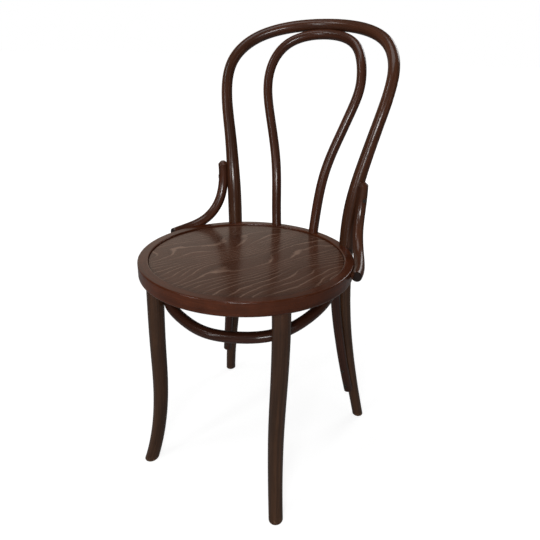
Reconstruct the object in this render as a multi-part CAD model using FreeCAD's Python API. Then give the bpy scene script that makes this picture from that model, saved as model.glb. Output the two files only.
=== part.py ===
import FreeCAD, Part
import math
import os

# Bentwood bistro chair with a round seat, a double back bow, two side braces
# and a bent hoop under the seat whose tails run down the rear legs.
# Sizes in millimetres. While building, the seat axis stands at x = 0, y = 0,
# the front of the chair faces -Y and the floor is z = 0. At the end all pieces
# move together so that the origin is under the middle of the overall box.

V = FreeCAD.Vector

# Seat ring and panel
SEAT_HEIGHT = 460.0          # crest of the ring above the floor at the seat axis
SEAT_DIAMETER = 410.0        # outside of the ring
SEAT_TILT = 2.6              # degrees, front edge higher
RING_HEIGHT = 28.0
RING_WIDTH = 45.0            # radial width at the underside
RING_TOP_ROUND = 2.6         # outer upper edge
RING_BOTTOM_ROUND = 4.0      # outer lower edge
LIP_WIDTH = 19.0             # ring top that stays visible round the panel
LIP_ROUND = 2.2              # inner edge of the lip
PANEL_DROP = 3.2             # panel face below the crest of the lip
PANEL_THICKNESS = 7.0
PANEL_EDGE_GAP = 0.3         # clearance round the panel
PANEL_EDGE_BREAK = 0.8       # small chamfer on the panel edge

# Front legs: height, reach from the seat axis, bearing from straight ahead, diameter
FRONT_LEG = [
    (-20.0, 232.0, 43.8, 27.5),
    (50.0, 209.0, 44.9, 27.7),
    (110.0, 197.0, 45.8, 28.6),
    (190.0, 189.0, 47.0, 30.0),
    (280.0, 186.0, 48.6, 31.1),
    (360.0, 182.5, 50.0, 32.2),
    (460.0, 177.0, 50.6, 33.0),
]
LEG_SET_IN = 28.0            # leg axis inside the ring's outside, at the seat crest
LEG_TENON_DIAMETER = 22.0
LEG_TENON_LENGTH = 14.0
LEG_TENON_ROOT = 6.0         # start of the tenon inside its own leg
TENON_CLEARANCE = 0.2        # radial play of a tenon in its bore
BORE_SPARE = 0.6             # bore deeper than its tenon

# Outer bow and rear legs, one bent rod: half width, depth behind the seat axis, height, diameter
OUTER_BOW = [
    (193.0, 186.0, -20.0, 24.2),
    (182.0, 175.0, 50.0, 24.4),
    (165.0, 164.5, 150.0, 26.0),
    (150.0, 159.0, 250.0, 28.4),
    (141.5, 157.0, 350.0, 30.0),
    (140.5, 157.5, 450.0, 30.8),
    (143.0, 161.0, 520.0, 30.4),
    (152.0, 170.5, 588.0, 27.8),
    (162.5, 181.0, 640.0, 25.6),
    (174.5, 191.0, 692.0, 24.2),
    (185.0, 205.0, 744.0, 23.4),
    (185.5, 229.0, 796.0, 23.2),
    (157.0, 268.0, 841.0, 23.4),
    (108.0, 300.0, 864.0, 23.6),
    (55.0, 318.0, 873.5, 23.8),
    (0.0, 324.0, 876.0, 24.0),
]

# Inner bow: half width, depth behind the seat axis, height, diameter
INNER_BOW = [
    (47.0, 189.0, 448.0, 21.2),
    (51.0, 194.5, 505.0, 21.0),
    (61.5, 210.0, 590.0, 20.8),
    (86.0, 231.0, 672.0, 20.4),
    (99.5, 242.0, 713.0, 20.3),
    (109.0, 255.5, 755.0, 20.2),
    (104.0, 270.5, 799.0, 20.2),
    (81.5, 292.5, 835.0, 20.3),
    (43.5, 309.5, 852.5, 20.4),
    (0.0, 315.5, 857.0, 20.5),
]
BOW_TENON_DIAMETER = 14.0
BOW_TENON_LENGTH = 18.0
BOW_TENON_ROOT = 5.0         # start of the tenon inside its own bow

# Side brace beside the rear leg: share of the way up from the seat crest to the
# post screw, distance out from the leg's centre, distance ahead of it, diameter
BRACE_BESIDE_LEG = [
    (1.36, 15.4, 16.2, 21.0),
    (0.82, 22.9, 10.5, 21.3),
    (0.375, 30.4, 23.7, 21.3),
]

# Side brace on its way to the ring: half width, depth, height, diameter
BRACE_TO_RING = [
    (187.0, 105.0, 464.5, 21.1),
    (204.5, 66.0, 453.0, 20.8),
    (213.0, 28.0, 450.5, 21.4),
]
BRACE_TOP_BREAK = 5.5        # chamfer round the upper end
BRACE_END_BREAK = 1.5        # chamfer round the end at the ring

# Hoop under the seat with two tails: half width, depth, height, diameter
LEG_HOOP = [
    (173.3, 148.7, 90.0, 19.6),
    (168.0, 145.0, 118.0, 19.8),
    (158.0, 138.0, 175.0, 20.0),
    (149.0, 132.0, 233.0, 20.2),
    (141.0, 127.0, 292.0, 20.4),
    (137.0, 123.0, 345.0, 20.6),
    (139.5, 115.5, 372.0, 20.8),
    (146.0, 97.0, 390.0, 21.0),
    (155.0, 60.0, 394.0, 21.0),
    (159.0, 10.0, 388.0, 21.0),
    (151.5, -37.0, 381.0, 21.0),
    (119.0, -102.0, 371.5, 21.0),
    (62.0, -129.5, 362.5, 21.0),
    (0.0, -141.0, 359.5, 21.0),
]
TAIL_END_BREAK = 2.5
FOOT_BREAK = 1.8

# Bolts that hold the rear legs to the ring
BOLT_DIAMETER = 6.0
BOLT_HEAD_DIAMETER = 13.0
BOLT_HEAD_HEIGHT = 4.0
BOLT_HEAD_ROUND = 1.5
BOLT_HEAD_SINK = 4.6         # depth of the counterbore in the rear leg
BOLT_HEAD_PLAY = 0.4         # radial play of the head in its counterbore
BOLT_SLOT_WIDTH = 1.6
BOLT_SLOT_DEPTH = 1.4
WASHER_DIAMETER = 12.0
WASHER_THICKNESS = 1.5
NUT_ACROSS_FLATS = 10.0
NUT_HEIGHT = 5.0
SPOT_FACE_DEPTH = 0.8        # flat milled in the inside of the ring
SPOT_FACE_PLAY = 0.6         # radial room round the washer
BOLT_THREAD_SHOW = 3.0       # bolt end beyond its nut

# Wood screws: shank diameter and head diameter
SCREW_SHANK = 4.0
SCREW_HEAD = 8.0
SCREW_RIM = 0.4              # straight rim of the head above its cone
SCREW_HEAD_SINK = 0.3        # head face below the round surface
SLOT_WIDTH = 1.2
SLOT_DEPTH = 1.1
HOLE_PLAY = 0.1              # radial play of a shank in its hole
POST_SCREW_HEIGHT = 556.0    # brace to rear leg
POST_SCREW_TURN = 12.0       # degrees that the head is turned forward of the line of centres
TAIL_SCREW_HEIGHTS = (108.0, 150.0)
RING_SCREW_DEPTH = 50.0      # where the ring screw meets the brace, behind the axis
RING_SCREW_SINK = 0.8        # head face below the inside of the ring
CROWN_SCREW_OFFSET = 13.0    # each side of the middle
POST_SCREW_LENGTH = 36.0
RING_SCREW_LENGTH = 56.0
FRONT_SCREW_LENGTH = 38.0
TAIL_SCREW_LENGTH = 34.0
BOW_SCREW_LENGTH = 48.0
CROWN_SCREW_LENGTH = 32.0

# Distance between the sections of each kind of rod
OUTER_SPACING = 40.0
INNER_SPACING = 30.0
BRACE_SPACING = 18.0
HOOP_SPACING = 26.0
LEG_SPACING = 32.0

# Sizes that follow from the ones above
RING_OUTER = SEAT_DIAMETER / 2.0
RING_INNER = RING_OUTER - RING_WIDTH
REBATE_RADIUS = RING_OUTER - LIP_WIDTH
LEDGE_DROP = PANEL_DROP + PANEL_THICKNESS
TILT = math.radians(SEAT_TILT)
SEAT_UP = V(0, math.sin(TILT), math.cos(TILT))

# Seat for which the rows of stations hold: the front leg ends at its crest
ROW_SEAT_HEIGHT = FRONT_LEG[-1][0]
ROW_RING_OUTER = FRONT_LEG[-1][1] + LEG_SET_IN


def fitted_height(height):
    """Height of a station at this seat: legs stretch with the seat, the back rides on it."""
    if height > ROW_SEAT_HEIGHT:
        return height + SEAT_HEIGHT - ROW_SEAT_HEIGHT
    return height * SEAT_HEIGHT / ROW_SEAT_HEIGHT


def fitted(rows):
    """Stations of a rod at this seat: all of them move out or in with the ring."""
    stations = []
    for x, y, z, diameter in rows:
        reach = math.hypot(x, y)
        grown = (reach + RING_OUTER - ROW_RING_OUTER) / reach
        stations.append((x * grown, y * grown, fitted_height(z), diameter))
    return stations


def seat_to_chair(shape):
    """Tip a shape built about the level seat axis into the seat plane."""
    turned = shape.copy()
    turned.rotate(V(0, 0, SEAT_HEIGHT), V(1, 0, 0), -SEAT_TILT)
    return turned


def seat_plane(x, y, below):
    """Height of a plane parallel to the seat, measured down from the crest."""
    return SEAT_HEIGHT - below / math.cos(TILT) - y * math.tan(TILT)


def smooth_curve(values, knots):
    """Interpolated curve through vectors at the given parameters."""
    curve = Part.BSplineCurve()
    curve.interpolate(Points=values, Parameters=knots)
    return curve


def centre_line(stations):
    """Centre curve, radius curve and end parameter through (x, y, z, diameter) stations."""
    points = [V(s[0], s[1], s[2]) for s in stations]
    knots = [0.0]
    for a, b in zip(points[:-1], points[1:]):
        knots.append(knots[-1] + a.distanceToPoint(b))
    centre = smooth_curve(points, knots)
    size = smooth_curve([V(s[3] / 2.0, 0, k) for s, k in zip(stations, knots)], knots)
    return centre, size, knots[-1]


def heading(centre, u, last):
    """Direction of a centre curve towards its far end."""
    step = centre.value(min(u + 0.5, last)) - centre.value(max(u - 0.5, 0.0))
    step.normalize()
    return step


def rod(stations, spacing):
    """Round bent rod, a loft of circles square to the centre curve, about a spacing apart."""
    centre, size, last = centre_line(stations)
    count = max(6, int(math.ceil(last / spacing)))
    wires = []
    side = None
    for i in range(count + 1):
        u = last * i / count
        along = heading(centre, u, last)
        if side is None:
            side = V(1, 0, 0) if abs(along.x) < 0.8 else V(0, 0, 1)
        side = side - along * side.dot(along)
        side.normalize()
        turn = FreeCAD.Rotation(side, along.cross(side), along, "ZXY")
        circle = Part.makeCircle(size.value(u).x)
        circle.Placement = FreeCAD.Placement(centre.value(u), turn)
        wires.append(Part.Wire([circle]))
    return Part.makeLoft(wires, True, False)


def both_halves(half):
    """Stations of a rod from one end, over the middle, to the mirrored end."""
    left = [(-s[0], s[1], s[2], s[3]) for s in half]
    right = [s for s in reversed(half) if s[0] != 0.0]
    return left + right


def mirrored(shape):
    """The same shape on the other side of the middle plane."""
    return shape.mirror(V(0, 0, 0), V(1, 0, 0))


def height_point(stations, height):
    """Point of a rod's centre line at a height, with its radius."""
    ordered = sorted(stations, key=lambda s: s[2])
    points = [V(s[0], s[1], s[2]) for s in ordered]
    curve = smooth_curve(points, [p.z for p in points])
    size = smooth_curve([V(s[3] / 2.0, 0, s[2]) for s in ordered], [p.z for p in points])
    p = curve.value(height)
    return V(p.x, p.y, height), size.value(height).x


def aim(shape, at, direction):
    """Place a shape built along +Z so that it points in a direction from a point."""
    moved = shape.copy()
    moved.Placement = FreeCAD.Placement(at, FreeCAD.Rotation(V(0, 0, 1), direction))
    return moved


def screw(length):
    """Countersunk slotted screw, head face at the origin, running along +Z."""
    r = SCREW_SHANK / 2.0
    h = SCREW_HEAD / 2.0
    cone = h - r
    outline = [V(0, 0, 0), V(h, 0, 0), V(h, 0, SCREW_RIM), V(r, 0, SCREW_RIM + cone)]
    outline = outline + [V(r, 0, length - 2 * r)]
    outline = outline + [V(0, 0, length), V(0, 0, 0)]
    body = Part.Face(Part.makePolygon(outline)).revolve(V(0, 0, 0), V(0, 0, 1), 360)
    slot = Part.makeBox(SCREW_HEAD + 2, SLOT_WIDTH, SLOT_DEPTH, V(-h - 1, -SLOT_WIDTH / 2.0, 0))
    return body.cut(slot)


def screw_hole(length):
    """Room for a screw, open above its head."""
    r = SCREW_SHANK / 2.0 + HOLE_PLAY
    h = SCREW_HEAD / 2.0
    cone = SCREW_HEAD / 2.0 - SCREW_SHANK / 2.0
    clear = 12.0
    outline = [V(0, 0, -clear), V(h, 0, -clear), V(h, 0, SCREW_RIM)]
    outline = outline + [V(r, 0, SCREW_RIM + cone - HOLE_PLAY)]
    outline = outline + [V(r, 0, length + 0.5), V(0, 0, length + 0.5), V(0, 0, -clear)]
    return Part.Face(Part.makePolygon(outline)).revolve(V(0, 0, 0), V(0, 0, 1), 360)


def both_sides(shape):
    """One shape and its mirror image as two separate solids."""
    return [shape, mirrored(shape)]


def cope(piece, tools):
    """Fit a piece round others, one after another; a tool that only grazes it is left out."""
    for tool in tools:
        fitted = piece.cut(tool)
        if fitted.Solids and fitted.isValid():
            piece = fitted
    return piece


def end_break(at, into, radius, amount):
    """Cutter that breaks the rim of a round end by a 45 degree chamfer."""
    out = 6.0
    outline = [V(radius - amount - 0.5, 0, -0.5), V(radius + out, 0, -0.5)]
    outline = outline + [V(radius + out, 0, amount + out), V(radius - amount - 0.5, 0, -0.5)]
    ring = Part.Face(Part.makePolygon(outline)).revolve(V(0, 0, 0), V(0, 0, 1), 360)
    return aim(ring, at, into)


def square_end(stations, amount):
    """Cutter that breaks the rim of a rod at its first station."""
    centre, size, last = centre_line(stations)
    return end_break(centre.value(0), heading(centre, 0, last), size.value(0).x, amount)


def foot_end(stations, amount):
    """Cutter that breaks the rim of a foot standing on the floor."""
    at, radius = height_point(stations, 0.0)
    return end_break(at, V(0, 0, 1), radius + 0.3, amount)


# Seat ring profile, radius outwards and height down from the crest
def ring_section():
    top = SEAT_HEIGHT
    low = SEAT_HEIGHT - RING_HEIGHT
    ledge = SEAT_HEIGHT - LEDGE_DROP
    a = RING_TOP_ROUND
    b = RING_BOTTOM_ROUND
    c = LIP_ROUND
    k = math.sqrt(0.5)
    edges = [
        Part.LineSegment(V(RING_INNER, 0, low), V(RING_OUTER - b, 0, low)).toShape(),
        Part.Arc(V(RING_OUTER - b, 0, low), V(RING_OUTER - b + b * k, 0, low + b - b * k),
                 V(RING_OUTER, 0, low + b)).toShape(),
        Part.LineSegment(V(RING_OUTER, 0, low + b), V(RING_OUTER, 0, top - a)).toShape(),
        Part.Arc(V(RING_OUTER, 0, top - a), V(RING_OUTER - a + a * k, 0, top - a + a * k),
                 V(RING_OUTER - a, 0, top)).toShape(),
        Part.LineSegment(V(RING_OUTER - a, 0, top), V(REBATE_RADIUS + c, 0, top)).toShape(),
        Part.Arc(V(REBATE_RADIUS + c, 0, top), V(REBATE_RADIUS + c - c * k, 0, top - c + c * k),
                 V(REBATE_RADIUS, 0, top - c)).toShape(),
        Part.LineSegment(V(REBATE_RADIUS, 0, top - c), V(REBATE_RADIUS, 0, ledge)).toShape(),
        Part.LineSegment(V(REBATE_RADIUS, 0, ledge), V(RING_INNER, 0, ledge)).toShape(),
        Part.LineSegment(V(RING_INNER, 0, ledge), V(RING_INNER, 0, low)).toShape(),
    ]
    return Part.Face(Part.Wire(edges))


ring_blank = seat_to_chair(ring_section().revolve(V(0, 0, 0), V(0, 0, 1), 360))

# Plywood panel resting on the ledge of the ring
panel_radius = REBATE_RADIUS - PANEL_EDGE_GAP
panel_low = SEAT_HEIGHT - LEDGE_DROP
panel_top = panel_low + PANEL_THICKNESS
panel_outline = [
    V(0, 0, panel_low),
    V(panel_radius, 0, panel_low),
    V(panel_radius, 0, panel_top - PANEL_EDGE_BREAK),
    V(panel_radius - PANEL_EDGE_BREAK, 0, panel_top),
    V(0, 0, panel_top),
    V(0, 0, panel_low),
]
seat_panel = Part.Face(Part.makePolygon(panel_outline)).revolve(V(0, 0, 0), V(0, 0, 1), 360)
seat_panel = seat_to_chair(seat_panel)

# Half spaces used to trim rods: all below the floor, all above the ring underside,
# all below the ring crest
SPAN = 3.0 * SEAT_DIAMETER


def slab(low, thickness):
    """A wide level slab from a height upwards."""
    return Part.makeBox(SPAN, SPAN, thickness, V(-SPAN / 2.0, -SPAN / 2.0, low))


below_floor = slab(-SEAT_HEIGHT, SEAT_HEIGHT)
above_ring_low = seat_to_chair(slab(SEAT_HEIGHT - RING_HEIGHT, SEAT_HEIGHT))
below_ring_top = seat_to_chair(slab(0.0, SEAT_HEIGHT))


# Front legs with a round tenon into the ring
def polar(row):
    turn = math.radians(row[2])
    return (row[1] * math.sin(turn), -row[1] * math.cos(turn), row[0], row[3])


front_stations = fitted([polar(row) for row in FRONT_LEG])
leg = rod(front_stations, LEG_SPACING)
leg = leg.cut([below_floor, above_ring_low, foot_end(front_stations, FOOT_BREAK)])
ring_low_centre = seat_plane(0, front_stations[-1][1], RING_HEIGHT)
leg_top = height_point(front_stations, ring_low_centre)[0]
tenon_root = leg_top - SEAT_UP * LEG_TENON_ROOT
tenon = Part.makeCylinder(LEG_TENON_DIAMETER / 2.0, LEG_TENON_ROOT + LEG_TENON_LENGTH)
front_leg_right = leg.fuse(aim(tenon, tenon_root, SEAT_UP)).removeSplitter()
leg_bore = Part.makeCylinder(LEG_TENON_DIAMETER / 2.0 + TENON_CLEARANCE,
                             LEG_TENON_ROOT + LEG_TENON_LENGTH + BORE_SPARE)
leg_bore = aim(leg_bore, tenon_root, SEAT_UP)

# Outer bow with the rear legs, housed round the seat ring
outer_half = fitted(OUTER_BOW)
outer_bow = rod(both_halves(outer_half), OUTER_SPACING)
rear_foot = foot_end(outer_half[:6], FOOT_BREAK)
outer_bow = outer_bow.cut([below_floor, rear_foot, mirrored(rear_foot)])
outer_blank = outer_bow.copy()
outer_bow = cope(outer_bow, [ring_blank])

# Inner bow standing on the ring, with round tenons, coped to the outer bow at the crown
inner_half = fitted(INNER_BOW)
inner_bow = rod(both_halves(inner_half), INNER_SPACING)
inner_bow = inner_bow.cut(below_ring_top)
foot_at = height_point(inner_half[:5], seat_plane(0, inner_half[0][1], 0))[0]
bow_root = foot_at + SEAT_UP * BOW_TENON_ROOT
bow_tenon = Part.makeCylinder(BOW_TENON_DIAMETER / 2.0, BOW_TENON_ROOT + BOW_TENON_LENGTH)
bow_tenon = aim(bow_tenon, bow_root, SEAT_UP * -1.0)
bow_bore = Part.makeCylinder(BOW_TENON_DIAMETER / 2.0 + TENON_CLEARANCE,
                             BOW_TENON_ROOT + BOW_TENON_LENGTH + BORE_SPARE)
bow_bore = aim(bow_bore, bow_root, SEAT_UP * -1.0)
inner_bow = inner_bow.fuse([bow_tenon, mirrored(bow_tenon)]).removeSplitter()
inner_bow = cope(inner_bow, [outer_blank])

# Side braces, coped to the rear leg and to the ring
post_screw_height = fitted_height(POST_SCREW_HEIGHT)
brace_stations = []
for share, out, ahead, diameter in BRACE_BESIDE_LEG:
    height = SEAT_HEIGHT + share * (post_screw_height - SEAT_HEIGHT)
    beside = height_point(outer_half[:11], height)[0]
    brace_stations.append((beside.x + out, beside.y - ahead, height, diameter))
brace_stations = brace_stations + fitted(BRACE_TO_RING)
brace = rod(brace_stations, BRACE_SPACING)
brace = brace.cut([square_end(brace_stations, BRACE_TOP_BREAK),
                   square_end(brace_stations[::-1], BRACE_END_BREAK)])
brace = cope(brace, [outer_blank, ring_blank])

# Hoop under the seat
hoop_half = fitted(LEG_HOOP)
leg_hoop = rod(both_halves(hoop_half), HOOP_SPACING)
tail_end = square_end(hoop_half, TAIL_END_BREAK)
leg_hoop = leg_hoop.cut([tail_end, mirrored(tail_end)])

# Bolt, washer and nut at each rear leg, along a level line to the seat axis
wall_middle = (RING_HEIGHT + LEDGE_DROP) / 2.0
near_post = height_point(outer_half[:8], SEAT_HEIGHT)[0]
post_z = seat_plane(0, near_post.y * RING_INNER / math.hypot(near_post.x, near_post.y), wall_middle)
post_at, post_radius = height_point(outer_half[:8], post_z)
post_reach = math.hypot(post_at.x, post_at.y)
outward = V(post_at.x / post_reach, post_at.y / post_reach, 0)
inward = outward * -1.0
head_seat = post_reach + post_radius - BOLT_HEAD_SINK
ring_seat = RING_INNER + SPOT_FACE_DEPTH
nut_face = ring_seat - WASHER_THICKNESS
bolt_end = nut_face - NUT_HEIGHT - BOLT_THREAD_SHOW


def on_bolt_line(reach):
    """Point on the bolt line at a distance from the seat axis."""
    return V(outward.x * reach, outward.y * reach, post_z)


bolt_head = Part.makeCylinder(BOLT_HEAD_DIAMETER / 2.0, BOLT_HEAD_HEIGHT)
top_rim = [e for e in bolt_head.Edges
           if e.BoundBox.ZMin > BOLT_HEAD_HEIGHT / 2.0 and e.BoundBox.XLength > BOLT_HEAD_DIAMETER / 2.0]
bolt_head = bolt_head.makeFillet(BOLT_HEAD_ROUND, top_rim)
bolt_slot = Part.makeBox(2 * BOLT_HEAD_DIAMETER, BOLT_SLOT_WIDTH, 2 * BOLT_SLOT_DEPTH,
                         V(-BOLT_HEAD_DIAMETER, -BOLT_SLOT_WIDTH / 2.0, BOLT_HEAD_HEIGHT - BOLT_SLOT_DEPTH))
bolt_head = bolt_head.cut(bolt_slot)
bolt_shank = Part.makeCylinder(BOLT_DIAMETER / 2.0, head_seat - bolt_end)
bolt = aim(bolt_head, on_bolt_line(head_seat), outward)
bolt = bolt.fuse(aim(bolt_shank, on_bolt_line(head_seat), inward)).removeSplitter()
bolt_hole = aim(Part.makeCylinder(BOLT_DIAMETER / 2.0 + HOLE_PLAY, head_seat - bolt_end + RING_WIDTH),
                on_bolt_line(bolt_end), outward)
head_room = aim(Part.makeCylinder(BOLT_HEAD_DIAMETER / 2.0 + BOLT_HEAD_PLAY, 2 * post_radius),
                on_bolt_line(head_seat), outward)
spot_face = aim(Part.makeCylinder(WASHER_DIAMETER / 2.0 + SPOT_FACE_PLAY, RING_WIDTH),
                on_bolt_line(ring_seat), inward)
washer = Part.makeCylinder(WASHER_DIAMETER / 2.0, WASHER_THICKNESS)
washer = washer.cut(Part.makeCylinder(BOLT_DIAMETER / 2.0 + HOLE_PLAY, WASHER_THICKNESS))
washer = aim(washer, on_bolt_line(ring_seat), inward)
nut_radius = NUT_ACROSS_FLATS / math.sqrt(3.0)
corners = [V(nut_radius * math.cos(math.radians(60 * i)), nut_radius * math.sin(math.radians(60 * i)), 0)
           for i in range(7)]
nut = Part.Face(Part.makePolygon(corners)).extrude(V(0, 0, NUT_HEIGHT))
nut = nut.cut(Part.makeCylinder(BOLT_DIAMETER / 2.0, NUT_HEIGHT))
nut = aim(nut, on_bolt_line(nut_face), inward)

# Screw from the outside of each brace into the rear leg
leg_there = height_point(outer_half[:11], post_screw_height)[0]
brace_there, brace_there_radius = height_point(brace_stations[:4], post_screw_height)
to_leg = leg_there - brace_there
to_leg.z = 0
to_leg.normalize()
to_leg = FreeCAD.Rotation(V(0, 0, 1), -POST_SCREW_TURN).multVec(to_leg)
post_screw_at = brace_there - to_leg * (brace_there_radius - SCREW_HEAD_SINK)
post_screw = aim(screw(POST_SCREW_LENGTH), post_screw_at, to_leg)
post_screw_hole = aim(screw_hole(POST_SCREW_LENGTH), post_screw_at, to_leg)

# Screw from the inside of the ring into the lower end of each brace
brace_low = V(*brace_stations[-1][:3])
brace_back = V(*brace_stations[-2][:3])
share = (RING_SCREW_DEPTH - brace_low.y) / (brace_back.y - brace_low.y)
screw_goal = brace_low + (brace_back - brace_low) * share
level = V(screw_goal.x, screw_goal.y, 0)
level.normalize()
ring_screw_at = level * (RING_INNER + RING_SCREW_SINK)
ring_screw_at.z = seat_plane(0, ring_screw_at.y, wall_middle)
to_brace = screw_goal - ring_screw_at
to_brace.normalize()
ring_screw = aim(screw(RING_SCREW_LENGTH), ring_screw_at, to_brace)
ring_screw_hole = aim(screw_hole(RING_SCREW_LENGTH), ring_screw_at, to_brace)

# Screw from the inside of the hoop into each front leg
hoop_side = hoop_half[-3]
hoop_reach = math.hypot(hoop_side[0], hoop_side[1])
to_front = V(hoop_side[0] / hoop_reach, hoop_side[1] / hoop_reach, 0)
front_screw_at = to_front * (hoop_reach - hoop_side[3] / 2.0 + SCREW_HEAD_SINK)
front_screw_at.z = hoop_side[2]
front_screw = aim(screw(FRONT_SCREW_LENGTH), front_screw_at, to_front)
front_screw_hole = aim(screw_hole(FRONT_SCREW_LENGTH), front_screw_at, to_front)

# Two screws from the front of each tail into the rear leg
tail_screws = []
tail_holes = []
for height in map(fitted_height, TAIL_SCREW_HEIGHTS):
    tail_at, tail_radius = height_point(hoop_half[:6], height)
    rear_at = height_point(outer_half[:6], height)[0]
    to_rear = rear_at - tail_at
    to_rear.z = 0
    to_rear.normalize()
    start = tail_at - to_rear * (tail_radius - SCREW_HEAD_SINK)
    tail_screws = tail_screws + both_sides(aim(screw(TAIL_SCREW_LENGTH), start, to_rear))
    tail_holes = tail_holes + both_sides(aim(screw_hole(TAIL_SCREW_LENGTH), start, to_rear))

# Screw up through the ring into each foot of the inner bow
ring_low_at = foot_at - SEAT_UP * (RING_HEIGHT - SCREW_HEAD_SINK)
bow_screw = aim(screw(BOW_SCREW_LENGTH), ring_low_at, SEAT_UP)
bow_screw_hole = aim(screw_hole(BOW_SCREW_LENGTH), ring_low_at, SEAT_UP)

# Two screws up through the crown of the inner bow into the outer bow
crown_low = V(*inner_half[-1][:3])
crown_up = V(*outer_half[-1][:3])
to_crown = crown_up - crown_low
to_crown.normalize()
crown_start = crown_low - to_crown * (inner_half[-1][3] / 2.0 - SCREW_HEAD_SINK)
crown_at = crown_start + V(CROWN_SCREW_OFFSET, 0, 0)
crown_screw = aim(screw(CROWN_SCREW_LENGTH), crown_at, to_crown)
crown_hole = aim(screw_hole(CROWN_SCREW_LENGTH), crown_at, to_crown)

# Bores and screw holes in the wood
ring_cutters = []
for one in (leg_bore, bow_bore, bolt_hole, spot_face, ring_screw_hole, bow_screw_hole):
    ring_cutters = ring_cutters + both_sides(one)
seat_ring = ring_blank.cut(ring_cutters)
outer_cutters = tail_holes
for one in (bolt_hole, head_room, post_screw_hole, crown_hole):
    outer_cutters = outer_cutters + both_sides(one)
outer_bow = outer_bow.cut(outer_cutters)
inner_bow = inner_bow.cut(both_sides(bow_screw_hole) + both_sides(crown_hole))
brace = brace.cut([post_screw_hole, ring_screw_hole])
leg_hoop = leg_hoop.cut(both_sides(front_screw_hole) + tail_holes)
leg_hoop = cope(leg_hoop, [outer_blank, front_leg_right, mirrored(front_leg_right)])
front_leg_right = front_leg_right.cut(front_screw_hole)

nodes = {
    "outer_bow": [outer_bow],
    "inner_bow": [inner_bow],
    "seat_ring": [seat_ring],
    "seat_panel": [seat_panel],
    "front_leg_right": [front_leg_right],
    "front_leg_left": [mirrored(front_leg_right)],
    "side_brace_right": [brace],
    "side_brace_left": [mirrored(brace)],
    "leg_hoop": [leg_hoop],
    "post_bolts": both_sides(bolt),
    "post_washers": both_sides(washer),
    "post_nuts": both_sides(nut),
    "brace_post_screws": both_sides(post_screw),
    "brace_ring_screws": both_sides(ring_screw),
    "hoop_front_screws": both_sides(front_screw),
    "hoop_tail_screws": tail_screws,
    "inner_bow_screws": both_sides(bow_screw),
    "crown_screws": both_sides(crown_screw),
}

# Move the origin under the middle of the overall box: the ring reaches furthest
# forward at its lower rounding, the crown of the outer bow furthest back
front_reach = ((RING_OUTER - RING_BOTTOM_ROUND) * math.cos(TILT)
               + (RING_HEIGHT - RING_BOTTOM_ROUND) * math.sin(TILT) + RING_BOTTOM_ROUND)
back_reach = outer_half[-1][1] + outer_half[-1][3] / 2.0
shift = V(0, (front_reach - back_reach) / 2.0, 0)

for name, group in nodes.items():
    solids = []
    for shape in group:
        solids = solids + list(shape.Solids)
    piece = solids[0] if len(solids) == 1 else Part.makeCompound(solids)
    piece.translate(shift)
    piece.exportStep("parts/" + name + ".step")
    print(name, len(solids), piece.isValid(), round(piece.Volume))
print("seat axis at y", round(shift.y, 2))
print("depth", round(front_reach + back_reach, 1))
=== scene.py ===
import math

import bpy
import numpy as np
from mathutils import Matrix, Vector

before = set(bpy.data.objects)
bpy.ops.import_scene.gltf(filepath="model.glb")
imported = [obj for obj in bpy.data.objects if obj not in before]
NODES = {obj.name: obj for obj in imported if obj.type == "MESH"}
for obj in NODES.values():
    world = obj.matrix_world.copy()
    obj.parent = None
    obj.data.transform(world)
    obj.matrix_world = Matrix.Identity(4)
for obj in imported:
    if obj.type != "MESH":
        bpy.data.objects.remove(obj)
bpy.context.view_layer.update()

# Looks for the bentwood bistro chair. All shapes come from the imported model:
# this script gives each piece its material, and sets the floor, the lamps and
# the camera. Lengths are in metres unless a name or a comment says otherwise.

MM = 0.001
SEAT_AXIS_Y = -0.06506                # the seat's axis in the chair's frame
SEAT_CREST_Z = 0.460                  # the ring's highest level, on that axis
SEAT_TILT = math.radians(2.6)         # the seat falls towards the back
RING_RADIUS = 0.205

# Centre lines of the bent rods, as in the part's source, for the grain to follow:
# half width, depth behind the seat's axis, and height, in millimetres
OUTER_BOW = [
    (193.0, 186.0, -20.0), (182.0, 175.0, 50.0), (165.0, 164.5, 150.0),
    (150.0, 159.0, 250.0), (141.5, 157.0, 350.0), (140.5, 157.5, 450.0),
    (143.0, 161.0, 520.0), (152.0, 170.5, 588.0), (162.5, 181.0, 640.0),
    (174.5, 191.0, 692.0), (185.0, 205.0, 744.0), (185.5, 229.0, 796.0),
    (157.0, 268.0, 841.0), (108.0, 300.0, 864.0), (55.0, 318.0, 873.5),
    (0.0, 324.0, 876.0),
]
INNER_BOW = [
    (47.0, 189.0, 448.0), (51.0, 194.5, 505.0), (61.5, 210.0, 590.0),
    (86.0, 231.0, 672.0), (99.5, 242.0, 713.0), (109.0, 255.5, 755.0),
    (104.0, 270.5, 799.0), (81.5, 292.5, 835.0), (43.5, 309.5, 852.5),
    (0.0, 315.5, 857.0),
]
SIDE_BRACE = [
    (167.9, 154.7, 590.6), (167.7, 152.5, 538.7), (172.0, 135.5, 496.0),
    (187.0, 105.0, 464.5), (204.5, 66.0, 453.0), (213.0, 28.0, 450.5),
]
LEG_HOOP = [
    (173.3, 148.7, 90.0), (168.0, 145.0, 118.0), (158.0, 138.0, 175.0),
    (149.0, 132.0, 233.0), (141.0, 127.0, 292.0), (137.0, 123.0, 345.0),
    (139.5, 115.5, 372.0), (146.0, 97.0, 390.0), (155.0, 60.0, 394.0),
    (159.0, 10.0, 388.0), (151.5, -37.0, 381.0), (119.0, -102.0, 371.5),
    (62.0, -129.5, 362.5), (0.0, -141.0, 359.5),
]
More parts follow.
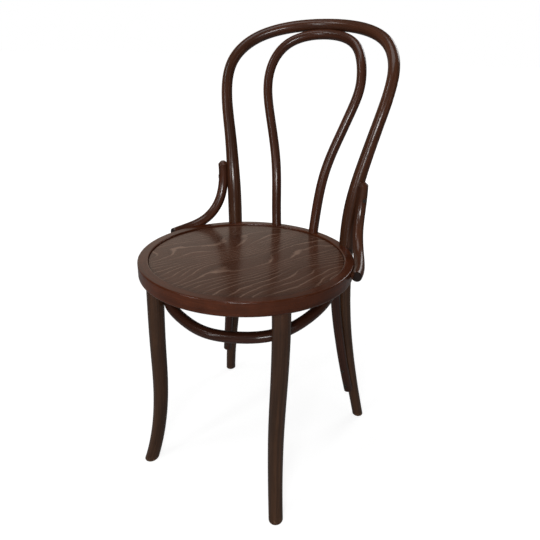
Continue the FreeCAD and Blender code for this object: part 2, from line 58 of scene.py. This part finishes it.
# Front legs: height, reach from the seat's axis, bearing in degrees from straight ahead
FRONT_LEG = [
    (-20.0, 232.0, 43.8), (50.0, 209.0, 44.9), (110.0, 197.0, 45.8),
    (190.0, 189.0, 47.0), (280.0, 186.0, 48.6), (360.0, 182.5, 50.0),
    (460.0, 177.0, 50.6),
]
CURVE_STEPS = 24                      # points of a grain line between two stations
FIRST_ACROSS = (0.3, 0.2, 0.93)       # roughly upright, and along no rod's start
BATCH = 4000                          # mesh points compared with a grain line at a time

# Stained and lacquered wood. Colours are linear.
UMBER = (0.042, 0.0130, 0.0060)
RED_UMBER = (0.044, 0.0145, 0.0065)
OLIVE_UMBER = (0.037, 0.0165, 0.0080)
HOOP_UMBER = (0.028, 0.0088, 0.0045)
RING_RED = (0.048, 0.0118, 0.0041)
RAW_BEECH = (0.22, 0.13, 0.075)
# End of a brace: darker end grain, with painted shade on the end face, nearly black
END_GRAIN_AND_SHADE = (0.0045, 0.0028, 0.0022)
SEAT_BROWN = (0.053, 0.0205, 0.0115)
LINE_TAN = (0.230, 0.140, 0.100)      # the panel's growth lines
STEEL_DARK = (0.070, 0.060, 0.052)
STEEL_PALE = (0.13, 0.115, 0.10)
WHITE = (1.0, 1.0, 1.0)

# Wood of the rods. A texture's scale is per metre across, across and along the rod.
ROD_FIBRE = (900.0, 900.0, 16.0)
ROD_RIBBON = (260.0, 90.0, 3.2)
ROD_CLOUD = (30.0, 30.0, 9.0)
ROD_FLECK = (1500.0, 1500.0, 260.0)
ROD_WAVE = (60.0, 60.0, 14.0)
ROD_SCUFF = (260.0, 260.0, 160.0)     # per metre of the chair's X, Y and Z
ROD_SHIFT = (1.7, 3.1, 0.9)           # shift of the textures from one rod to the next
STAIN_CHANGE = (0.30, 0.62)           # heights between which the low stain gives way
SCUFF_HEIGHT = 0.014                  # how far up from the floor a foot is worn
FOOT_WEAR = 0.55                      # share of raw beech at the most worn foot
FOOT_DULLING = 0.25
END_GRAIN_AND_SHADE_FADE = (0.0012, 0.0004)     # before the end of the rod
END_GRAIN_AND_SHADE_COVER = 0.9

# Wood of the ring. A texture's scale is per metre across the grain and per radian along it.
RING_FIBRE = (850.0, 4.0)
RING_RIBBON = (130.0, 1.4)
RING_CLOUD = (22.0, 3.4)
RING_FLECK = (1400.0, 60.0)
LIP_INSET = (0.0195, 0.016)           # from the ring's outside to where the lip's rubbing and painted highlight fade
LIP_DROP = (-0.002, -0.0003)          # levels between which it fades down the lip's side
LIP_WEAR_AND_HIGHLIGHT = 0.12                       # share of raw beech on the lip's inner edge: rubbed wear and a painted highlight

# Plywood of the panel. A texture's scale is per metre along and across the face grain.
FACE_GRAIN_TURN = math.radians(68.0)  # direction of the face grain from the chair's +X
LINES_PER_METRE = 74.0                # pale growth lines, across the grain
LINE_COVER = 0.60                     # share of the pale colour on the palest line
SWELL_LINES = 13.0                    # how many lines the slow swell shifts them by
WOBBLE_LINES = 0.7                    # and the small wobble
PLY_SWELL = (3.6, 9.0, 0.0)
PLY_SWELL_SHIFT = (4.2, 1.3, 0.0)
PLY_WOBBLE = (22.0, 34.0, 0.0)
PLY_STRENGTH = (14.0, 30.0, 0.0)
PLY_STRENGTH_SHIFT = (7.0, 2.0, 0.0)
PLY_PORES = (150.0, 1500.0, 0.0)
PLY_FIBRE = (30.0, 520.0, 0.0)
PLY_CLOUD = (5.0, 12.0, 0.0)
PLY_CLOUD_SHIFT = (1.0, 5.0, 0.0)

# Steel, per metre
STEEL_GRIT = (2600.0, 2600.0, 2600.0)
STEEL_PATCH = (420.0, 420.0, 420.0)

# Camera, solved from the photograph
CAMERA_PLACE = (0.47115, -0.76885, 0.83291)
CAMERA_AZIMUTH = math.radians(26.354)
CAMERA_ELEVATION = math.radians(23.397)
CAMERA_ROLL = math.radians(1.699)
CAMERA_CLIP = 0.02
FOCAL_PIXELS = 472.706
CENTRE_RIGHT_PIXELS = 35.274
CENTRE_UP_PIXELS = 19.399
FRAME_PIXELS = 540.0
SENSOR_MM = 36.0

# Floor and world
FLOOR_HALF_SIDE = 30.0
FLOOR_PAINT = (0.32, 0.32, 0.32, 1.0)
FLOOR_NEAR = 0.80                     # glow to the camera beside the chair, where 1 is white
FLOOR_FADE = (0.5, 1.8)               # distances between which that glow turns white
FLOOR_MIRRORED = 0.02                 # glow as mirrored in the lacquer
AMBIENT = 0.15                        # level of the world as a light
SCREEN_TURN = math.radians(146.0)     # bearing of the bright middle of the backdrop from +X
SCREEN_EDGE = (0.70, 0.93)            # cosines from that bearing between which it turns bright
SCREEN_LEVEL = 0.80                   # how bright, where 1 is white
SCREEN_WARM = (1.0, 0.88, 0.76)
ROOM_DIM = 0.10                       # level of the rest of the room, as mirrored

# Lamps: name, place, point aimed at, width and height, and watts
LAMPS = [
    ("lamp_key", (0.95, -2.15, 1.05), (0.0, 0.0, 0.45), (0.9, 0.3), 38.0),
    ("lamp_top", (-0.1, -0.2, 2.5), (0.0, 0.0, 0.45), (1.2, 1.2), 15.0),
    ("lamp_high", (-1.3, -1.5, 2.4), (0.0, 0.1, 0.6), (0.5, 0.5), 9.0),
    ("strip_left", (-0.9, -2.4, 1.5), (0.0, 0.0, 0.6), (0.24, 1.6), 14.0),
    ("lamp_back", (0.7, 2.5, 1.9), (0.0, 0.0, 0.40), (1.2, 0.8), 22.0),
    ("strip_right", (2.4, -0.3, 1.3), (0.0, 0.0, 0.5), (0.06, 2.0), 2.0),
]


# Grain direction along the rods

def station(half_width, depth, height, side):
    """A station of a centre line in the chair's frame, on the side -1 or 1."""
    return (side * half_width * MM, depth * MM + SEAT_AXIS_Y, height * MM)


def one_side(rows, side):
    return [station(*row, side) for row in rows]


def whole(rows):
    """Both halves of a symmetric rod in one run, from left to right."""
    left = one_side(rows, -1)
    right = one_side(rows, 1)
    return left + right[-2::-1]


def leg_line(side):
    line = []
    for height, reach, bearing in FRONT_LEG:
        turn = math.radians(bearing)
        line.append(station(reach * math.sin(turn), -reach * math.cos(turn), height, side))
    return line


def smooth(stations):
    """Points on a smooth curve through the stations."""
    p = np.array(stations, float)
    padded = np.vstack([2 * p[0] - p[1], p, 2 * p[-1] - p[-2]])
    points = []
    for i in range(1, len(padded) - 2):
        a, b, c, d = padded[i - 1:i + 3]
        for t in np.arange(CURVE_STEPS) / CURVE_STEPS:
            points.append(0.5 * (2 * b + (c - a) * t + (2 * a - 5 * b + 4 * c - d) * t ** 2
                                 + (3 * b - a - 3 * c + d) * t ** 3))
    points.append(p[-1])
    return np.array(points)


def axes_along(line):
    """At each point of a line, its direction and two directions across it that don't twist."""
    tangent = np.gradient(line, axis=0)
    tangent /= np.linalg.norm(tangent, axis=1)[:, None]
    across = np.zeros_like(tangent)
    guess = np.cross(tangent[0], FIRST_ACROSS)
    for i, t in enumerate(tangent):
        guess = guess - guess.dot(t) * t
        guess /= np.linalg.norm(guess)
        across[i] = guess
    return tangent, across, np.cross(tangent, across)


def mesh_points(mesh):
    place = np.zeros(len(mesh.vertices) * 3)
    mesh.vertices.foreach_get("co", place)
    return place.reshape(-1, 3)


def nearest_on(line, place):
    """Index of the line's nearest point for each place."""
    nearest = np.empty(len(place), int)
    for first in range(0, len(place), BATCH):
        part = place[first:first + BATCH]
        gap = ((part[:, None, :] - line[None, :, :]) ** 2).sum(2)
        nearest[first:first + BATCH] = gap.argmin(1)
    return nearest


def store_grain(node, stations):
    """Stores where each point of a rod lies across and along it, and gives the rod's length.

    The shape stays as it is.
    """
    line = smooth(stations)
    steps = np.linalg.norm(np.diff(line, axis=0), axis=1)
    run = np.concatenate([[0.0], np.cumsum(steps)])
    tangent, across, other = axes_along(line)
    mesh = NODES[node].data
    place = mesh_points(mesh)
    nearest = nearest_on(line, place)
    offset = place - line[nearest]
    grain = np.stack([(offset * across[nearest]).sum(1),
                      (offset * other[nearest]).sum(1),
                      run[nearest] + (offset * tangent[nearest]).sum(1)], 1)
    layer = mesh.attributes.new("grain", "FLOAT_VECTOR", "POINT")
    layer.data.foreach_set("vector", grain.astype(np.float32).ravel())
    return float(run[-1])


# Shader nodes

class NodeTree:
    """A node tree under construction. An input is a constant or another node's output."""

    def __init__(self, tree, output):
        self.tree = tree
        self.tree.nodes.clear()
        self.out = self.tree.nodes.new(output)

    def fill(self, socket, value):
        if isinstance(value, bpy.types.NodeSocket):
            self.tree.links.new(value, socket)
        else:
            socket.default_value = value

    def add(self, kind, inputs=None, **settings):
        node = self.tree.nodes.new(kind)
        for key, value in settings.items():
            setattr(node, key, value)
        for key, value in (inputs or {}).items():
            self.fill(node.inputs[key], value)
        return node

    def show(self, shader):
        self.tree.links.new(shader.outputs[0], self.out.inputs["Surface"])

    def math(self, operation, a, b=0.0, c=0.0):
        return self.add("ShaderNodeMath", {0: a, 1: b, 2: c}, operation=operation).outputs[0]

    def split(self, vector):
        return self.add("ShaderNodeSeparateXYZ", {0: vector}).outputs

    def join(self, x, y, z):
        return self.add("ShaderNodeCombineXYZ", {0: x, 1: y, 2: z}).outputs[0]

    def place(self):
        return self.add("ShaderNodeTexCoord").outputs["Object"]

    def scaled(self, vector, scale, shift=(0.0, 0.0, 0.0)):
        node = self.add("ShaderNodeMapping", {"Vector": vector, "Scale": scale, "Location": shift})
        return node.outputs[0]

    def noise(self, vector, detail=3.0, roughness=0.55, distortion=0.0, w=None):
        """Noise at the vector's own scale, in four dimensions where w is given."""
        inputs = {"Vector": vector, "Scale": 1.0, "Detail": detail,
                  "Roughness": roughness, "Distortion": distortion}
        if w is not None:
            inputs["W"] = w
        node = self.add("ShaderNodeTexNoise", inputs, noise_dimensions="3D" if w is None else "4D")
        return node.outputs[0]

    def ramp(self, value, low, high, to_low=0.0, to_high=1.0):
        """Turns smoothly from to_low to to_high as the value goes from low to high."""
        node = self.add("ShaderNodeMapRange",
                        {"Value": value, "From Min": low, "From Max": high,
                         "To Min": to_low, "To Max": to_high},
                        interpolation_type="SMOOTHSTEP")
        return node.outputs[0]

    def mix(self, factor, a, b, blend="MIX"):
        """Mixes two colours, each a constant of three channels or an output."""
        node = self.add("ShaderNodeMix", {0: factor}, data_type="RGBA", blend_type=blend)
        for index, colour in ((6, a), (7, b)):
            constant = isinstance(colour, tuple)
            self.fill(node.inputs[index], (*colour, 1.0) if constant else colour)
        return node.outputs[2]

    def mix_number(self, factor, a, b):
        return self.add("ShaderNodeMix", {0: factor, 2: a, 3: b}).outputs[0]

    def toned(self, colour, *layers):
        """The colour times all the layers, each the arguments of a ramp."""
        tone = self.ramp(*layers[0])
        for layer in layers[1:]:
            tone = self.math("MULTIPLY", tone, self.ramp(*layer))
        return self.mix(1.0, colour, self.join(tone, tone, tone), "MULTIPLY")

    def bump(self, height, strength, distance, normal=None):
        inputs = {"Height": height, "Strength": strength, "Distance": distance}
        if normal is not None:
            inputs["Normal"] = normal
        return self.add("ShaderNodeBump", inputs).outputs[0]


class Surface(NodeTree):
    """A material under construction."""

    def __init__(self, name):
        self.material = bpy.data.materials.new(name)
        self.material.use_nodes = True
        super().__init__(self.material.node_tree, "ShaderNodeOutputMaterial")

    def finish(self, colour, roughness, normal, **constants):
        shader = self.add("ShaderNodeBsdfPrincipled",
                          {"Base Color": colour, "Roughness": roughness, "Normal": normal})
        for key, value in constants.items():
            shader.inputs[key.replace("_", " ")].default_value = value
        self.show(shader)
        return self.material


# Materials

def brightness(colour, factor):
    return tuple(channel * factor for channel in colour)


def rod_wood(name, stain, seed, low_stain, dark_end):
    """Bent beech rod: grain and ray flecks run along the rod, under satin lacquer.

    Where a low stain is given, the rod has it near the floor. Where dark_end is given, the
    end at that run along the rod is nearly black: darker end grain, with painted shade on the end
    face.
    """
    s = Surface(name)
    grain = s.add("ShaderNodeAttribute", attribute_name="grain").outputs["Vector"]
    place = s.place()
    height = s.split(place)["Z"]
    shift = tuple(seed * step for step in ROD_SHIFT)
    fibre = s.noise(s.scaled(grain, ROD_FIBRE, shift), detail=4.0, roughness=0.65)
    ribbon = s.noise(s.scaled(grain, ROD_RIBBON, shift), detail=2.0, distortion=0.6)
    cloud = s.noise(s.scaled(grain, ROD_CLOUD, shift), detail=2.0)
    fleck = s.noise(s.scaled(grain, ROD_FLECK, shift), detail=1.0)
    wave = s.noise(s.scaled(grain, ROD_WAVE, shift), detail=1.0)
    scuff = s.noise(s.scaled(place, ROD_SCUFF, shift), detail=4.0, roughness=0.7)
    base = stain
    if low_stain is not None:
        base = s.mix(s.ramp(height, *STAIN_CHANGE), low_stain, stain)
    colour = s.toned(base,
                     (fibre, 0.30, 0.72, 0.80, 1.16),
                     (ribbon, 0.32, 0.68, 0.80, 1.22),
                     (cloud, 0.30, 0.70, 0.84, 1.16),
                     (fleck, 0.60, 0.72, 1.0, 0.74))
    foot = s.math("MULTIPLY", s.ramp(height, 0.0, SCUFF_HEIGHT, 1.0, 0.0), s.ramp(scuff, 0.46, 0.66))
    colour = s.mix(s.math("MULTIPLY", foot, FOOT_WEAR), colour, RAW_BEECH)
    # The end face is nearly black: darker end grain, with painted shade
    if dark_end is not None:
        fade_start, fade_end = (dark_end - inset for inset in END_GRAIN_AND_SHADE_FADE)
        end = s.ramp(s.split(grain)["Z"], fade_start, fade_end, 0.0, END_GRAIN_AND_SHADE_COVER)
        colour = s.mix(end, colour, END_GRAIN_AND_SHADE)
    rough = s.math("ADD", s.ramp(fibre, 0.3, 0.7, 0.38, 0.48), s.ramp(cloud, 0.3, 0.7, -0.03, 0.05))
    rough = s.math("ADD", rough, s.math("MULTIPLY", foot, FOOT_DULLING))
    normal = s.bump(fibre, 0.02, 0.0002)
    normal = s.bump(wave, 0.06, 0.0012, normal)
    return s.finish(colour, rough, normal, Specular_IOR_Level=0.04, Coat_Weight=0.46,
                    Coat_Roughness=0.20)


def seat_coordinates(s):
    """Across and behind the seat's axis, and the level above the tilted crest of the ring."""
    x, y, z = s.split(s.place())
    y = s.math("SUBTRACT", y, SEAT_AXIS_Y)
    fall = s.math("MULTIPLY", y, math.tan(SEAT_TILT))
    level = s.math("ADD", s.math("SUBTRACT", z, SEAT_CREST_Z), fall)
    return x, y, level


def ring_wood(name):
    """The seat ring: grain runs round it. The lip's inner edge is lighter: rubbed, and with a painted
    highlight.
    """
    s = Surface(name)
    x, y, level = seat_coordinates(s)
    radius = s.math("SQRT", s.math("ADD", s.math("MULTIPLY", x, x), s.math("MULTIPLY", y, y)))
    round_x = s.math("DIVIDE", x, radius)
    round_y = s.math("DIVIDE", y, radius)

    def round_noise(grain, detail, seed, roughness=0.55):
        across, along = grain
        vector = s.join(s.math("MULTIPLY", radius, across), s.math("MULTIPLY", level, across),
                        s.math("MULTIPLY", round_x, along))
        w = s.math("MULTIPLY_ADD", round_y, along, seed)
        return s.noise(vector, detail=detail, roughness=roughness, w=w)

    fibre = round_noise(RING_FIBRE, 4.0, 3.0, 0.65)
    ribbon = round_noise(RING_RIBBON, 2.0, 9.0)
    cloud = round_noise(RING_CLOUD, 2.5, 21.0, 0.6)
    fleck = round_noise(RING_FLECK, 1.0, 33.0)
    base = s.mix(s.ramp(cloud, 0.34, 0.68), brightness(RING_RED, 0.85), brightness(RING_RED, 1.25))
    colour = s.toned(base,
                     (fibre, 0.30, 0.72, 0.82, 1.16),
                     (ribbon, 0.32, 0.68, 0.82, 1.20),
                     (fleck, 0.60, 0.72, 1.0, 0.76))
    fade_start, fade_end = (RING_RADIUS - inset for inset in LIP_INSET)
    # The lip's inner edge turns lighter: rubbed wear, and a painted highlight
    lip = s.math("MULTIPLY", s.ramp(radius, fade_start, fade_end, 1.0, 0.0), s.ramp(level, *LIP_DROP))
    rub_and_highlight = s.math("MULTIPLY", lip, s.ramp(cloud, 0.35, 0.6, 0.25, 0.8))
    colour = s.mix(s.math("MULTIPLY", rub_and_highlight, LIP_WEAR_AND_HIGHLIGHT), colour, RAW_BEECH)
    rough = s.ramp(fibre, 0.3, 0.7, 0.27, 0.37)
    normal = s.bump(fibre, 0.08, 0.0002)
    normal = s.bump(cloud, 0.10, 0.002, normal)
    return s.finish(colour, rough, normal, Specular_IOR_Level=0.07, Coat_Weight=0.28,
                    Coat_Roughness=0.16)


def growth_lines(s, flat, across):
    """Flowing growth lines: the phase from one line to the next, and how pale the line is."""
    swell = s.noise(s.scaled(flat, PLY_SWELL, PLY_SWELL_SHIFT), detail=1.2, roughness=0.4)
    wobble = s.noise(s.scaled(flat, PLY_WOBBLE), detail=2.0)
    straight = s.math("MULTIPLY", across, LINES_PER_METRE)
    count = s.math("ADD", straight, s.math("MULTIPLY", swell, SWELL_LINES))
    count = s.math("ADD", count, s.math("MULTIPLY", wobble, WOBBLE_LINES))
    phase = s.math("FRACT", count)
    line = s.math("MULTIPLY", s.ramp(phase, 0.0, 0.07), s.ramp(phase, 0.09, 0.26, 1.0, 0.0))
    strength = s.noise(s.scaled(flat, PLY_STRENGTH, PLY_STRENGTH_SHIFT), detail=2.0)
    line = s.math("MULTIPLY", line, s.ramp(strength, 0.34, 0.56, 0.30, 1.0))
    return phase, line


def seat_plywood(name):
    """Beech plywood face: pale flowing growth lines and fine pores, stained and lacquered."""
    s = Surface(name)
    x, y, level = seat_coordinates(s)
    cos_turn = math.cos(FACE_GRAIN_TURN)
    sin_turn = math.sin(FACE_GRAIN_TURN)
    along = s.math("ADD", s.math("MULTIPLY", x, cos_turn), s.math("MULTIPLY", y, sin_turn))
    across = s.math("SUBTRACT", s.math("MULTIPLY", y, cos_turn), s.math("MULTIPLY", x, sin_turn))
    flat = s.join(along, across, level)
    phase, line = growth_lines(s, flat, across)
    pores = s.noise(s.scaled(flat, PLY_PORES), detail=2.0)
    fibre = s.noise(s.scaled(flat, PLY_FIBRE), detail=3.0)
    cloud = s.noise(s.scaled(flat, PLY_CLOUD, PLY_CLOUD_SHIFT), detail=2.0)
    colour = s.toned(SEAT_BROWN,
                     (phase, 0.10, 1.0, 0.90, 1.14),
                     (fibre, 0.3, 0.7, 0.94, 1.06),
                     (pores, 0.58, 0.72, 1.0, 0.92),
                     (cloud, 0.3, 0.7, 0.88, 1.12))
    colour = s.mix(s.math("MULTIPLY", line, LINE_COVER), colour, LINE_TAN)
    rough = s.ramp(fibre, 0.3, 0.7, 0.24, 0.31)
    normal = s.bump(fibre, 0.02, 0.0001)
    normal = s.bump(line, 0.04, 0.0001, normal)
    return s.finish(colour, rough, normal, Specular_IOR_Level=0.06, Coat_Weight=0.22,
                    Coat_Roughness=0.16)


def dark_steel(name):
    """Oxidised steel of the bolts and screws."""
    s = Surface(name)
    place = s.place()
    fine = s.noise(s.scaled(place, STEEL_GRIT), detail=3.0)
    patch = s.noise(s.scaled(place, STEEL_PATCH), detail=3.0)
    colour = s.mix(s.ramp(patch, 0.38, 0.64), STEEL_DARK, STEEL_PALE)
    rough = s.math("ADD", s.ramp(fine, 0.3, 0.7, 0.30, 0.42), s.ramp(patch, 0.35, 0.65, 0.06, -0.03))
    return s.finish(colour, rough, s.bump(fine, 0.15, 0.0001), Metallic=1.0)


# Every piece gets its material

def dress(node, material):
    for slot in NODES[node].material_slots:
        slot.material = material


def dress_rods():
    """Each rod gets its grain, its stain and its own place in the textures."""
    rods = [
        ("outer_bow", whole(OUTER_BOW), RED_UMBER, OLIVE_UMBER),
        ("inner_bow", whole(INNER_BOW), UMBER, None),
        ("leg_hoop", whole(LEG_HOOP), HOOP_UMBER, None),
        ("side_brace_right", one_side(SIDE_BRACE, 1), RED_UMBER, None),
        ("side_brace_left", one_side(SIDE_BRACE, -1), UMBER, None),
        ("front_leg_right", leg_line(1), RED_UMBER, OLIVE_UMBER),
        ("front_leg_left", leg_line(-1), RED_UMBER, OLIVE_UMBER),
    ]
    for seed, (node, stations, stain, low_stain) in enumerate(rods, 1):
        length = store_grain(node, stations)
        dark_end = length if node.startswith("side_brace") else None
        dress(node, rod_wood("wood_" + node, stain, seed, low_stain, dark_end))


def dress_fasteners():
    steel = dark_steel("steel_dark")
    for node in NODES:
        if node.endswith(("screws", "bolts", "washers", "nuts")):
            dress(node, steel)


# Camera

def camera_axes():
    back = Vector((math.sin(CAMERA_AZIMUTH) * math.cos(CAMERA_ELEVATION),
                   -math.cos(CAMERA_AZIMUTH) * math.cos(CAMERA_ELEVATION),
                   math.sin(CAMERA_ELEVATION)))
    level = Vector((math.cos(CAMERA_AZIMUTH), math.sin(CAMERA_AZIMUTH), 0.0))
    rise = back.cross(level)
    right = math.cos(CAMERA_ROLL) * level + math.sin(CAMERA_ROLL) * rise
    up = math.cos(CAMERA_ROLL) * rise - math.sin(CAMERA_ROLL) * level
    return right, up, back


def add_camera():
    lens = bpy.data.cameras.new("camera")
    lens.sensor_width = SENSOR_MM
    lens.lens = FOCAL_PIXELS * SENSOR_MM / FRAME_PIXELS
    lens.shift_x = -CENTRE_RIGHT_PIXELS / FRAME_PIXELS
    lens.shift_y = -CENTRE_UP_PIXELS / FRAME_PIXELS
    lens.clip_start = CAMERA_CLIP
    camera = bpy.data.objects.new("camera", lens)
    place = Matrix(camera_axes()).transposed().to_4x4()
    place.translation = Vector(CAMERA_PLACE)
    camera.matrix_world = place
    bpy.context.scene.collection.objects.link(camera)
    bpy.context.scene.camera = camera


# Floor, world and lamps

def floor_paint():
    """Grey paint with a glow to the camera: nearly white there, with a faint shadow left."""
    s = Surface("floor_pale")
    path = s.add("ShaderNodeLightPath").outputs
    reach = s.add("ShaderNodeVectorMath", {0: s.place()}, operation="LENGTH").outputs["Value"]
    mirrored = s.math("MAXIMUM", path["Is Glossy Ray"], path["Is Transmission Ray"])
    seen = s.math("MULTIPLY", path["Is Camera Ray"], s.ramp(reach, *FLOOR_FADE, FLOOR_NEAR, 1.0))
    seen = s.math("ADD", seen, s.math("MULTIPLY", mirrored, FLOOR_MIRRORED))
    paint = s.add("ShaderNodeBsdfDiffuse", {"Color": FLOOR_PAINT})
    glow = s.add("ShaderNodeEmission", {"Color": (*WHITE, 1.0), "Strength": seen})
    s.show(s.add("ShaderNodeAddShader", {0: paint.outputs[0], 1: glow.outputs[0]}))
    return s.material


def add_floor():
    side = FLOOR_HALF_SIDE
    mesh = bpy.data.meshes.new("floor")
    mesh.from_pydata([(-side, -side, 0), (side, -side, 0), (side, side, 0), (-side, side, 0)], [],
                     [(0, 1, 2, 3)])
    mesh.materials.append(floor_paint())
    floor = bpy.data.objects.new("floor", mesh)
    bpy.context.scene.collection.objects.link(floor)


def add_world():
    """White to the camera. Mirrored, it is warm: bright behind the chair's left, dim elsewhere."""
    world = bpy.data.worlds.new("studio")
    world.use_nodes = True
    n = NodeTree(world.node_tree, "ShaderNodeOutputWorld")
    path = n.add("ShaderNodeLightPath").outputs
    direction = n.add("ShaderNodeTexCoord").outputs["Generated"]
    toward = (math.cos(SCREEN_TURN), math.sin(SCREEN_TURN), 0.0)
    facing = n.add("ShaderNodeVectorMath", {0: direction, 1: toward}, operation="DOT_PRODUCT")
    screen = n.ramp(facing.outputs["Value"], *SCREEN_EDGE, 0.0, SCREEN_LEVEL)
    mirrored = n.math("MULTIPLY_ADD", screen, 1.0 - ROOM_DIM, ROOM_DIM)
    any_mirror = n.math("MAXIMUM", path["Is Glossy Ray"], path["Is Transmission Ray"])
    level = n.mix_number(any_mirror, AMBIENT, mirrored)
    level = n.mix_number(path["Is Camera Ray"], level, 1.0)
    tint = n.mix(any_mirror, WHITE, SCREEN_WARM)
    n.show(n.add("ShaderNodeBackground", {"Color": tint, "Strength": level}))
    bpy.context.scene.world = world


def add_lamp(name, place, aim, size, watts):
    light = bpy.data.lights.new(name, "AREA")
    light.shape = "RECTANGLE"
    light.size, light.size_y = size
    light.energy = watts
    lamp = bpy.data.objects.new(name, light)
    lamp.location = place
    lamp.rotation_euler = (Vector(aim) - Vector(place)).to_track_quat("-Z", "Y").to_euler()
    bpy.context.scene.collection.objects.link(lamp)


dress_rods()
dress("seat_ring", ring_wood("wood_seat_ring"))
dress("seat_panel", seat_plywood("ply_seat_panel"))
dress_fasteners()
add_camera()
add_floor()
add_world()
for lamp in LAMPS:
    add_lamp(*lamp)

bpy.context.scene.view_settings.view_transform = "Standard"
